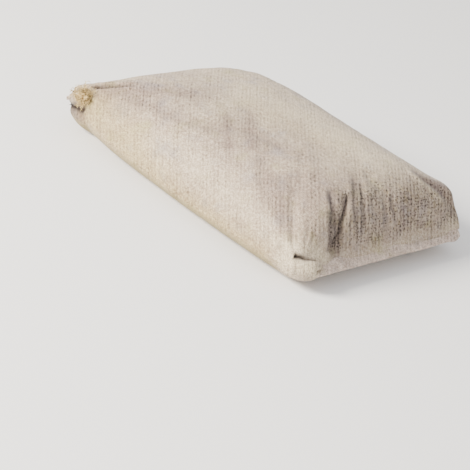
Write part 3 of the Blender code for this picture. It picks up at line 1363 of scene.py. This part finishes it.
    def press(self, crease: Crease, loose: Array) -> Array:
        """Press one crease into the grid.

        Args:
            crease: The crease.
            loose: Where the cloth may be pushed.

        Returns:
            How dark the crease makes each point, from 0 to 1.
        """
        grid, wide = self.grid, crease.width
        line = smoothed(path_points(crease.path, 60), 6)
        low, high = line.min(0) - wide * 7, line.max(0) + wide * 7
        near = np.all((grid.points > low) & (grid.points < high), axis=-1)
        points, normal = grid.points[near], grid.normals()[near]
        line = self.laid(line, points, normal)
        apart = points[:, None, :] - line[None, :, :]
        nearest = np.argmin(np.linalg.norm(apart, axis=-1), axis=1)
        apart = apart[np.arange(len(points)), nearest]
        distance = np.linalg.norm(apart, axis=-1)
        t = nearest / (len(line) - 1)
        across = np.cross(normal, np.gradient(line, axis=0)[nearest])
        across /= np.maximum(np.linalg.norm(across, axis=-1, keepdims=True), 1e-9)
        signed = np.einsum("ij,ij->i", apart, across)
        size = 1 - crease.taper * t
        width = np.where(signed > 0, wide * crease.skew, wide) * size
        place = wide * self.ridge_place
        beside = np.abs(signed - crease.side * place) if crease.side else distance - place
        ridge = crease.ridge * np.exp(-((beside / (self.ridge_width * wide)) ** 2))
        strength = unit(np.minimum(t, 1 - t) * crease.fade)
        strength = strength * strength * (3 - 2 * strength) * size
        move = strength * (ridge - crease.depth * np.exp(-distance / width)) * loose[near]
        grid.points[near] = points + normal * move[:, None]
        shade = np.zeros(near.shape)
        shade[near] = strength * np.exp(-((distance / (1.1 * width)) ** 2))
        return shade

    def laid(self, line: Array, points: Array, normals: Array) -> Array:
        """Lay a line onto the cloth.

        Args:
            line: Points near the cloth.
            points: The cloth's points near the line.
            normals: Their normals.

        Returns:
            The line, moved along the cloth's normals and smoothed.
        """
        nearest = np.argmin(np.linalg.norm(points[None, :, :] - line[:, None, :], axis=-1), axis=1)
        lift = np.sum((points[nearest] - line) * normals[nearest], axis=-1, keepdims=True)
        return smoothed(line + lift * normals[nearest], 8)

    def raise_welts(self, loose: Array) -> None:
        """Raise the sewn seam along each long side, and less where the corners are full.

        Args:
            loose: Where the cloth may be pushed.
        """
        count = len(self.grid.v)
        lift = np.zeros(count)
        for middle in (0, count // 2):
            for step, share in enumerate(self.welt_shape):
                lift[[(middle + step) % count, (middle - step) % count]] = share
        fade = unit((0.97 - np.abs(self.grid.u)) / 0.06)
        self.grid.push(lift[None, :] * self.welt * fade[:, None] * loose)

    def add_lips(self) -> None:
        """Add the flat lips past both end seams."""
        grid, lips = self.grid, {}
        half = self.form.width / 2
        for end, hem in self.hems.items():
            last = grid.points[0 if end is End.BASE else -1]
            kept = unit(hem.left(grid.v * half) / 0.3)[:, None]
            rings = []
            for along in self.lip_places:
                y = grid.v * half * (1 + (hem.share - 1) * along / hem.run)
                rings.append(hem.place(y, along, grid.side * self.form.cloth / 2) * kept + last * (1 - kept))
            lips[end] = np.array(rings)
        grid.points = np.concatenate([lips[End.BASE][::-1], grid.points, lips[End.MOUTH]])
        grid.u = np.pad(grid.u, len(self.lip_places), mode="edge")

    def tucked_pairs(self) -> list[tuple[int, int]]:
        """Bring the top and bottom cloth together where the mouth's corner is tucked in.

        Returns:
            Numbers of the points that are brought together.
        """
        count, last = len(self.grid.v), self.grid.points[-1]
        upper = np.arange(1, count // 2)
        upper = upper[self.hems[End.MOUTH].left(last[upper, 1]) < 1e-6]
        lower = count - upper
        last[upper] = last[lower] = (last[upper] + last[lower]) / 2
        start = (len(self.grid.points) - 1) * count
        return [(int(start + a), int(start + b)) for a, b in zip(upper, lower)]

    def flat_map(self) -> tuple[Array, Array]:
        """Measure the cloth along the sack from its middle, and round each ring from its top.

        Returns:
            The places along and around.
        """
        points = self.grid.points
        rings, count = points.shape[:2]
        along = np.linalg.norm(np.diff(points, axis=0, prepend=points[:1]), axis=-1).cumsum(axis=0)
        around = np.linalg.norm(np.diff(points, axis=1, append=points[:, :1]), axis=-1).cumsum(axis=1)
        around = np.concatenate([np.zeros((rings, 1)), around], axis=1)
        return along - along[rings // 2], around - around[:, count // 4, None]

    def build(self, material: Material) -> None:
        """Build and dress the sack.

        Args:
            material: The cotton.
        """
        self.grid = self.plain_grid()
        moves = self.wrinkles(self.simulate())
        self.grid.points = self.grid.points + moves
        log.info("cloth moved by up to %.1f mm", 1000 * np.linalg.norm(moves, axis=-1).max())
        self.grid = self.grid.refined()
        self.spread_feet()
        self.add_lips()
        self.even_out()
        masks = self.sculpt()
        pairs = self.tucked_pairs()
        obj = add_mesh("cotton_sack", self.grid.points, self.faces(), material)
        map_cloth(obj, *self.flat_map())
        for name, mask in masks.items():
            layer = obj.data.attributes.new(name, "FLOAT", "POINT")
            layer.data.foreach_set("value", mask.astype(np.float32).ravel())
        with edited(obj) as bm:
            bmesh.ops.weld_verts(bm, targetmap={bm.verts[b]: bm.verts[a] for a, b in pairs})
        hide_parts("filled_sack")
        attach(obj, "root")
        report(obj)


@dataclass
class Piece:
    """A piece of its own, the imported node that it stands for, and what it is made of."""

    name: str
    node: str
    material: Material

    def dress(self, obj: Object) -> None:
        """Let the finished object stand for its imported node.

        Args:
            obj: The object.
        """
        if not obj.data.materials:
            obj.data.materials.append(self.material)
        obj.data.shade_smooth()
        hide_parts(self.node)
        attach(obj, "root")
        frame_slot(self.node)
        report(obj)

    def grow(self, obj: Object, group: NodeTree, **sizes: object) -> None:
        """Run a Geometry Nodes group on an object and dress its result, a plain mesh.

        Args:
            obj: The object that the group starts from.
            group: The group.
            sizes: The value of each of its inputs by name.
        """
        modifier = obj.modifiers.new(group.tree.name, "NODES")
        modifier.node_group = group.tree
        values = {**sizes, "Material": self.material}
        for item in group.tree.interface.items_tree:
            if item.in_out == "INPUT" and item.name in values:
                modifier[item.identifier] = values[item.name]
        obj.update_tag()
        result = obj.evaluated_get(bpy.context.evaluated_depsgraph_get())
        mesh = bpy.data.meshes.new_from_object(result)
        obj.modifiers.remove(modifier)
        obj.data = mesh
        self.dress(obj)


@dataclass
class EndStrip(Piece):
    """The folded strip of tape sewn over one end."""

    hem: Hem
    stations: int = 220
    turn_steps: int = 8
    flat_steps: int = 6
    turn_bulge: float = 0.0003
    puff: float = 0.0006
    puff_reach: float = 0.0022
    map_offset: float = 0.3

    def outline(self) -> Array:
        """Draw the folded strip's outline.

        Returns:
            Distances along and square to the lip, one row for each point.
        """
        hem = self.hem
        inner = hem.form.cloth / 2 + hem.gap
        outer = inner + hem.band_cloth
        turn = hem.run + hem.gap
        starts = (hem.band_start, hem.band_top)
        flat, above = (np.linspace(a, turn, self.flat_steps, endpoint=False) for a in starts)
        points = [(a, outer + self.puffed(a)) for a in above]
        for i in range(self.turn_steps + 1):
            angle = math.pi / 2 - math.pi * i / self.turn_steps
            square = (outer + self.turn_bulge) * math.sin(angle)
            points.append((turn + hem.band_cloth * math.cos(angle), square))
        points += [(a, -outer - self.puffed(a)) for a in flat[::-1]]
        points += [*((a, -inner) for a in flat), (turn, -inner), (turn, inner)]
        points += [(a, inner) for a in above[::-1]]
        return np.array(points)

    def puffed(self, along: float) -> float:
        """How much the strip swells beside its line of stitches."""
        return self.puff * (1 - math.exp(-(((along - self.hem.stitch_inset) / self.puff_reach) ** 2)))

    def build(self) -> None:
        """Build and dress the strip."""
        outline = self.outline()
        rings, count = self.stations + 1, len(outline)
        ys = np.linspace(*self.hem.span, rings)
        points = self.hem.place(ys[:, None], outline[None, :, 0], outline[None, :, 1])
        last = (rings - 1) * count
        ends = [(count - 1, *range(count - 1)), (last, *range(last + count - 1, last, -1))]
        obj = add_mesh(self.name, points, ring_faces(rings, count) + ends)
        with edited(obj) as bm:
            bmesh.ops.recalc_face_normals(bm, faces=bm.faces)
        steps = np.linalg.norm(np.diff(outline, axis=0, append=outline[:1]), axis=-1)
        around = np.concatenate([[0], np.cumsum(steps)])
        along = np.repeat(ys[:, None] + self.map_offset, count, axis=1)
        map_cloth(obj, along, np.repeat(around[None, :], rings, axis=0))
        self.dress(obj)


@dataclass
class StitchRow(Piece):
    """Rows of separate stitches through one end strip, above and below."""

    hem: Hem
    pitch: float = 0.0046
    length: float = 0.0036
    width: float = 0.0010
    inset: float = 0.010
    margins: Pair = (0.004, 0.003)
    line_points: int = 160
    seed: int = 4

    def group(self) -> NodeTree:
        """Lay one stitch after another along a line.

        Returns:
            The Geometry Nodes group.
        """
        nodes = geometry_group("stitch_row", ("Pitch", "Length", "Width"))
        given, add = nodes.given, nodes.add
        curve = add("GeometryNodeMeshToCurve", {"Mesh": given["Geometry"]})
        spaced = add("GeometryNodeResampleCurve", {"Curve": curve, "Length": given["Pitch"]}, mode="LENGTH")
        bead = add("GeometryNodeMeshUVSphere", {"Segments": 8, "Rings": 6, "Radius": 0.5})
        sizes = add("CombineXYZ", {"X": given["Length"], "Y": given["Width"], "Z": given["Width"]})
        stitch = add("GeometryNodeTransform", {"Geometry": bead, "Scale": sizes})
        tangent = add("GeometryNodeInputTangent").outputs[0]
        lean = nodes.random((-0.10, -0.10, -0.10), (0.10, 0.10, 0.10))
        facing = {"Vector": nodes.vector("ADD", tangent, lean)}
        turn = add("FunctionNodeAlignRotationToVector", facing, axis="X")
        spots = {"Points": spaced, "Instance": stitch, "Rotation": turn, "Scale": nodes.random(0.85, 1.12)}
        laid = add("GeometryNodeInstanceOnPoints", spots)
        nodes.end(add("GeometryNodeRealizeInstances", {"Geometry": laid}))
        return nodes

    def build(self) -> None:
        """Build and dress the stitches."""
        hem = self.hem
        ys = np.linspace(hem.span[0] + self.margins[0], hem.span[1] - self.margins[1], self.line_points)
        height = hem.form.cloth / 2 + hem.gap + hem.band_cloth
        points = np.concatenate([hem.place(ys, self.inset, side * height) for side in (1, -1)])
        edges = [(i + row, i + row + 1) for row in (0, len(ys)) for i in range(len(ys) - 1)]
        obj = add_mesh(self.name, points, [], edges=edges)
        sizes = {"Pitch": self.pitch, "Length": self.length, "Width": self.width}
        self.grow(obj, self.group(), **sizes, Seed=self.seed)


@dataclass
class ThreadTuft(Piece):
    """The knotted and frayed tail of thread at the front corner of the base."""

    middle: Point = (-0.2190, -0.1685, 0.0590)
    radii: Point = (0.0100, 0.0046, 0.0066)
    lump: float = 0.75
    lump_scale: float = 2.2
    lump_seed: Point = (7, 1, 4)
    density: float = 300000.0
    length: float = 0.0088
    thickness: float = 0.00034
    curl: float = 0.034
    seed: int = 11

    def group(self) -> NodeTree:
        """Grow curled fibres out of a knot.

        Returns:
            The Geometry Nodes group.
        """
        nodes = geometry_group("thread_tuft", ("Density", "Length", "Thickness", "Curl"))
        given, add = nodes.given, nodes.add
        knot = {"Mesh": given["Geometry"], "Density": given["Density"], "Seed": given["Seed"]}
        roots = add("GeometryNodeDistributePointsOnFaces", knot)
        tip = add("CombineXYZ", {"Z": given["Length"]})
        line = add("GeometryNodeCurvePrimitiveLine", {"End": tip})
        fine = add("GeometryNodeResampleCurve", {"Curve": line, "Count": 12})
        lean = nodes.random((-2.4, -1.2, -1.4), (1.6, 0.8, 2.0))
        facing = {"Vector": nodes.vector("ADD", roots.outputs["Normal"], lean)}
        turn = add("FunctionNodeAlignRotationToVector", facing, axis="Z")
        spots = {"Points": roots, "Instance": fine, "Rotation": turn, "Scale": nodes.random(0.25, 1.60)}
        real = add("GeometryNodeRealizeInstances", {"Geometry": add("GeometryNodeInstanceOnPoints", spots)})
        place = add("GeometryNodeInputPosition").outputs[0]
        bend = nodes.add("TexNoise", {"Vector": place, "Scale": 150.0, "Detail": 1.0}).outputs["Color"]
        centred = nodes.vector("SCALE", nodes.vector("SUBTRACT", bend, (0.5, 0.5, 0.5)), given["Curl"])
        swing = nodes.vector("SCALE", centred, add("GeometryNodeSplineParameter").outputs["Factor"])
        curled = add("GeometryNodeSetPosition", {"Geometry": real, "Offset": swing})
        section = add("GeometryNodeCurvePrimitiveCircle", {"Resolution": 5, "Radius": given["Thickness"]})
        tubes = {"Curve": curled, "Profile Curve": section, "Fill Caps": True}
        joined = add("GeometryNodeJoinGeometry")
        for part in (given["Geometry"], add("GeometryNodeCurveToMesh", tubes)):
            nodes.feed(part, joined.inputs[0])
        nodes.end(joined)
        return nodes

    def build(self) -> None:
        """Build and dress the tuft."""
        obj = add_mesh(self.name, np.zeros((0, 3)), [])
        with edited(obj) as bm:
            bmesh.ops.create_icosphere(bm, subdivisions=3, radius=1.0)
            for vert in bm.verts:
                lump = 1 + self.lump * noise.noise(vert.co * self.lump_scale + Vector(self.lump_seed))
                vert.co = Vector([c * r * lump + m for c, r, m in zip(vert.co, self.radii, self.middle)])
        sizes = {"Density": self.density, "Length": self.length, "Thickness": self.thickness}
        self.grow(obj, self.group(), **sizes, Curl=self.curl, Seed=self.seed)


@dataclass
class Studio:
    """A pale floor, soft lights and the camera."""

    azimuth: float = 39.43
    elevation: float = 24.19
    roll: float = 15.74
    distance: float = 2.601
    target: Point = (0.0, 0.0, 0.04655)
    target_pixel: Pair = (262.54, 157.92)
    image: int = 470
    focal_pixels: float = 1771.4
    sensor: float = 36.0
    floor_half: float = 8.0
    floor_drop: float = 0.0003
    floor_grey: float = 0.93
    lights: tuple[tuple[str, Point, float, float, str], ...] = (
        ("key", (-1.3, -3.1, 2.0), 1.4, 480.0, "FFF8EC"), ("fill", (2.2, -1.6, 1.6), 2.0, 8.0, "F4F1FF"),
    )
    sky_colour: Colour = (1.0, 0.99, 0.98, 1)
    sky_strength: float = 1.06

    def axes(self) -> tuple[Vector, Vector, Vector]:
        """Find the camera's directions.

        Returns:
            Its right, up and back.
        """
        azimuth, elevation, roll = (math.radians(a) for a in (self.azimuth, self.elevation, self.roll))
        flat = math.cos(elevation)
        back = Vector((math.sin(azimuth) * flat, -math.cos(azimuth) * flat, math.sin(elevation)))
        level = Vector((math.cos(azimuth), math.sin(azimuth), 0))
        upright = back.cross(level)
        right = level * math.cos(roll) + upright * math.sin(roll)
        return right, upright * math.cos(roll) - level * math.sin(roll), back

    def streak_turn(self) -> Euler:
        """Turn that lines the yarn streaks up with the way the sack lies."""
        return Matrix(self.axes()).to_euler()

    def add_camera(self) -> None:
        """Set the camera where the sack has its place in the picture, with no shift."""
        right, up, back = self.axes()
        aside = (self.image / 2 - self.target_pixel[0]) / self.focal_pixels
        above = (self.target_pixel[1] - self.image / 2) / self.focal_pixels
        new_back = -(right * aside + up * above - back).normalized()
        new_right = up.cross(new_back).normalized()
        data = bpy.data.cameras.new("camera")
        data.sensor_width = self.sensor
        data.lens = self.sensor * self.focal_pixels / self.image
        camera = bpy.data.objects.new("camera", data)
        turn = Matrix((new_right, new_back.cross(new_right), new_back)).transposed().to_4x4()
        camera.matrix_world = Matrix.Translation(Vector(self.target) + back * self.distance) @ turn
        bpy.context.scene.collection.objects.link(camera)
        bpy.context.scene.camera = camera

    def add_floor(self) -> None:
        """Lay a plain pale floor."""
        material, shader = new_material("pale_floor", 0.9)
        shader.inputs["Base Color"].default_value = (self.floor_grey, self.floor_grey, self.floor_grey, 1)
        square = np.array([(-1, -1, 0), (1, -1, 0), (1, 1, 0), (-1, 1, 0)]) * self.floor_half
        floor = add_mesh("floor", square, [(0, 1, 2, 3)], material)
        floor.location.z = -self.floor_drop

    def add_lights(self) -> None:
        """Add square soft lights that face the sack."""
        for name, place, size, power, colour in self.lights:
            data = bpy.data.lights.new(name, "AREA")
            data.size, data.energy, data.color = size, power, srgb(colour)[:3]
            light = bpy.data.objects.new(name, data)
            light.location = place
            light.rotation_euler = (Vector(self.target) - Vector(place)).to_track_quat("-Z", "Y").to_euler()
            bpy.context.scene.collection.objects.link(light)

    def build(self) -> None:
        """Set up the floor, the camera, the lights and the surroundings."""
        self.add_floor()
        self.add_camera()
        self.add_lights()
        world = bpy.data.worlds.new("surroundings")
        bpy.context.scene.world = world
        world.use_nodes = True
        sky = world.node_tree.nodes["Background"]
        sky.inputs["Color"].default_value = self.sky_colour
        sky.inputs["Strength"].default_value = self.sky_strength


MOUTH_FOLDS = (
    Crease(mm((221, -97, 94), (232, -105, 81), (239, -107, 67), (243, -105, 53), (245, -99, 38)), 0.006,
           0.0024, 0.0012, -1, shade=0.8, skew=3.2, fade=6),
    Crease(mm((187, -74, 112), (203, -85, 107), (215, -92, 99), (228, -95, 88), (237, -91, 75),
           (241, -87, 66)), 0.005, 0.003, 0.001, -1, shade=0.8, skew=2.2),
    Crease(mm((205, -50, 108), (213, -59, 104), (227, -74, 92), (233, -82, 82), (238, -87, 72),
           (242, -90, 61), (244, -99, 51)), 0.0085, 0.0036, 0.0016, 1, shade=1.0, gap=0.3, fade=6),
    Crease(mm((216, -96, 98), (226, -98, 89), (234, -100, 79), (239, -102, 68), (243, -103, 56),
           (245, -104, 47)), 0.001, 0.0066, shade=1.0, fade=7),
    Crease(mm((175, -16, 117), (197, -31, 112), (214, -47, 103), (224, -55, 95), (236, -55, 79),
           (240, -50, 66)), 0.0026, 0.0032, 0.0012, -1, shade=0.75),
    Crease(mm((183, -11, 116), (207, -25, 108), (224, -34, 96), (234, -40, 82), (241, -42, 64)), 0.0028,
           0.0034, 0.0008, 1, shade=0.7),
    Crease(mm((220, 9, 100), (231, 6, 87), (238, 4, 73), (244, 4, 53)), 0.0022, 0.003, 0.0006, -1,
           shade=0.6),
    Crease(mm((215, 33, 103), (230, 21, 89), (239, 25, 73), (242, 28, 61)), 0.003, 0.0024, 0.0014, -1,
           shade=0.8),
    Crease(mm((184, 91, 111), (197, 92, 108), (208, 97, 104), (223, 113, 93), (233, 127, 83),
           (237, 137, 77)), -0.0026, 0.0034, shade=0.0),
    Crease(mm((180, 101, 110), (199, 107, 105), (214, 122, 96), (228, 136, 87), (235, 147, 79)), 0.0014,
           0.0058, shade=0.55, fade=4),
)
CORNER_FOLDS = (
    Crease(mm((236, -170, 49), (242, -165, 49), (246, -152, 46), (252, -133, 41)), 0.007, 0.0034, 0.0014,
           shade=1.0, gap=1.0, fade=10, taper=0.62),
    Crease(mm((206, -170, 56), (210, -172, 49), (213, -173, 43)), 0.0016, 0.002, shade=0.3),
)
BASE_FOLDS = (
    Crease(mm((-226, -153, 68), (-214, -149, 75), (-198, -139, 83), (-180, -129, 91), (-165, -116, 98)),
           0.006, 0.0026, 0.0026, shade=1.0, gap=0.15),
    Crease(mm((-247, -162, 33), (-237, -168, 35), (-223, -170, 38), (-206, -169, 41)), 0.0046, 0.0048,
           0.0008, shade=1.0, gap=1.0, fade=7),
)
SOFT_FOLDS = (
    Crease(mm((-190, -140, 83), (-137, -142, 91), (-85, -137, 98), (-40, -128, 103), (-3, -110, 108),
           (29, -76, 113)), 0.0016, 0.009, shade=0.1),
    Crease(mm((3, -96, 110), (29, -73, 113), (60, -67, 114), (100, -62, 115)), 0.0018, 0.009, shade=0.06),
    Crease(mm((70, -95, 112), (101, -120, 106), (136, -148, 91), (162, -164, 74)), 0.0016, 0.007,
           shade=0.1),
    Crease(mm((120, -100, 110), (151, -128, 103), (183, -151, 86), (212, -167, 62)), 0.0018, 0.007,
           shade=0.12),
    Crease(mm((150, -90, 113), (178, -111, 107), (212, -133, 91), (237, -142, 68)), 0.0014, 0.007,
           shade=0.08),
)
# Painted shade in the folds and dips by default, painted light where the tint is pale, and a warmer tone
# where it is warm.
WASHES = (
    Wash(mm((-196, -150, 79), (-156, -128, 96), (-121, -100, 109), (-90, -70, 114)), 0.024, 0.75),
    Wash(mm((-117, -35, 114), (-72, -32, 116), (-36, -37, 116)), 0.03, 0.12),
    Wash(mm((-24, -73, 113), (9, -103, 110), (38, -124, 104)), 0.008, 0.8),
    Wash(mm((-17, -36, 115), (21, -68, 113), (58, -98, 111)), 0.01, 0.9),
    Wash(mm((54, -73, 113), (84, -66, 115), (114, -56, 116)), 0.011, 0.55),
    Wash(mm((118, -124, 105), (156, -145, 93), (188, -158, 79)), 0.01, 0.6),
    Wash(mm((-244, -160, 26), (-216, -170, 29)), 0.013, 1.0),
    Wash(mm((23, -166, 73), (84, -168, 69), (134, -169, 65), (171, -171, 59)), 0.022, 0.38, Tint.PALE),
    Wash(mm((202, -173, 52), (225, -168, 57), (240, -155, 58), (246, -120, 42)), 0.01, 0.8, Tint.PALE),
    Wash(mm((-60, 5, 117), (10, 45, 117), (100, 50, 118), (175, 45, 116)), 0.05, 0.56, Tint.PALE),
    Wash(mm((184, 91, 111), (208, 97, 104), (223, 113, 93), (233, 127, 83)), 0.005, 0.8, Tint.PALE),
    Wash(mm((243, 165, 46), (244, 145, 42)), 0.014, 0.6, Tint.PALE),
    Wash(mm((232, -176, 40), (250, -162, 40), (259, -150, 37)), 0.016, 1.0, Tint.PALE),
    Wash(mm((-165, -172, 57), (-100, -176, 52), (-30, -176, 52)), 0.028, 0.2, Tint.PALE),
    Wash(mm((-137, -142, 91), (-85, -137, 98), (-40, -128, 103), (0, -110, 108)), 0.014, 0.45),
    Wash(mm((5, -80, 112), (50, -80, 113)), 0.028, 0.4),
    Wash(mm((80, -100, 111), (120, -134, 100), (155, -160, 78)), 0.012, 0.4),
    Wash(mm((140, -115, 106), (183, -151, 86), (212, -167, 62)), 0.014, 0.45),
    Wash(mm((160, -100, 110), (205, -125, 96), (234, -138, 76)), 0.02, 0.45),
    Wash(mm((110, -60, 115), (150, -70, 114), (185, -85, 108)), 0.035, 0.35),
    Wash(mm((140, 20, 119), (165, -8, 118), (187, -31, 115)), 0.018, 0.45),
    Wash(mm((199, 105, 106), (216, 137, 94), (226, 160, 82)), 0.012, 0.7),
    Wash(mm((-197, -170, 39), (-153, -177, 39), (-68, -180, 35), (25, -181, 23), (108, -177, 22),
         (185, -173, 24)), 0.026, 0.8, Tint.WARM),
    Wash(mm((-184, -168, 63), (-144, -172, 60), (-102, -176, 52)), 0.028, 0.7, Tint.WARM),
    Wash(mm((-222, -166, 52), (-190, -169, 55)), 0.018, 0.8, Tint.WARM),
    Wash(mm((-35, -7, 117), (95, 10, 119)), 0.035, 0.35, Tint.WARM),
)
MOUNDS = (
    Mound(*mm((241, -94, 62), (30, 13, 26)), -0.006, 0.85),
    Mound(*mm((247, -92, 32), (10, 14, 10)), -0.001, 0.4),
    Mound(*mm((214, 150, 88), (22, 22, 16)), 0.0045),
    Mound(*mm((240, 158, 66), (18, 20, 14)), -0.0045, 0.5, (0.95, 0.2, 0.25)),
    Mound(*mm((236, 172, 71), (18, 16, 12)), -0.0035, 0.0, (0.6, 0.7, 0.4)),
    Mound(*mm((242, 172, 37), (18, 16, 12)), 0.0044, 0.0, (0.75, 0.6, 0.1)),
    Mound(*mm((-232, -166, 28), (18, 14, 10)), 0.0, 0.6),
    Mound(*mm((246, -98, 38), (8, 12, 8)), 0.0, 0.35),
    Mound(*mm((-236, -160, 66), (16, 16, 14)), 0.003),
    Mound(*mm((-242, -160, 28), (20, 22, 18)), 0.005),
)


def main() -> None:
    """Build the sack, its strips, stitches and knot, and the studio."""
    studio = Studio()
    groups = {
        "weave": plain_weave_group(), "slubs": slub_group(), "ribs": rib_group(), "specks": speck_group(),
        "pores": pore_group(),
    }
    turn = studio.streak_turn()
    cotton = ClothFinish("unbleached_cotton", "D8C9B1", "CBBBA8", 0.0026, 0.0005, 0.25, uses_masks=True)
    tape = ClothFinish("cotton_strip", "F0DFD0", "E4D3C5", 0.0022, 0.0004, 0.30, uses_masks=False)
    cloth, band = (ClothShader(finish, groups, turn).material for finish in (cotton, tape))
    form = SackForm()
    hems = {End.BASE: Hem(form, End.BASE, 0.0173, 0.0068, sag=0.0), End.MOUTH: Hem(form, End.MOUTH)}
    FilledSack(form, hems, MOUTH_FOLDS + CORNER_FOLDS + BASE_FOLDS + SOFT_FOLDS, MOUNDS, WASHES).build(cloth)
    thread = ThreadFinish("pale_sewing_thread", "CDC1AA", "A39478").make()
    for end, place in ((End.BASE, "base"), (End.MOUTH, "mouth")):
        EndStrip(f"{place}_strip", f"{place}_band", band, hems[end]).build()
        StitchRow(f"{place}_stitches", f"{place}_stitching", thread, hems[end]).build()
    yarn = ThreadFinish("tan_yarn", "F9DC9C", "553F1E", blotches=110.0).make()
    ThreadTuft("thread_tuft", "thread_knot", yarn).build()
    studio.build()


if __name__ == "__main__":
    main()
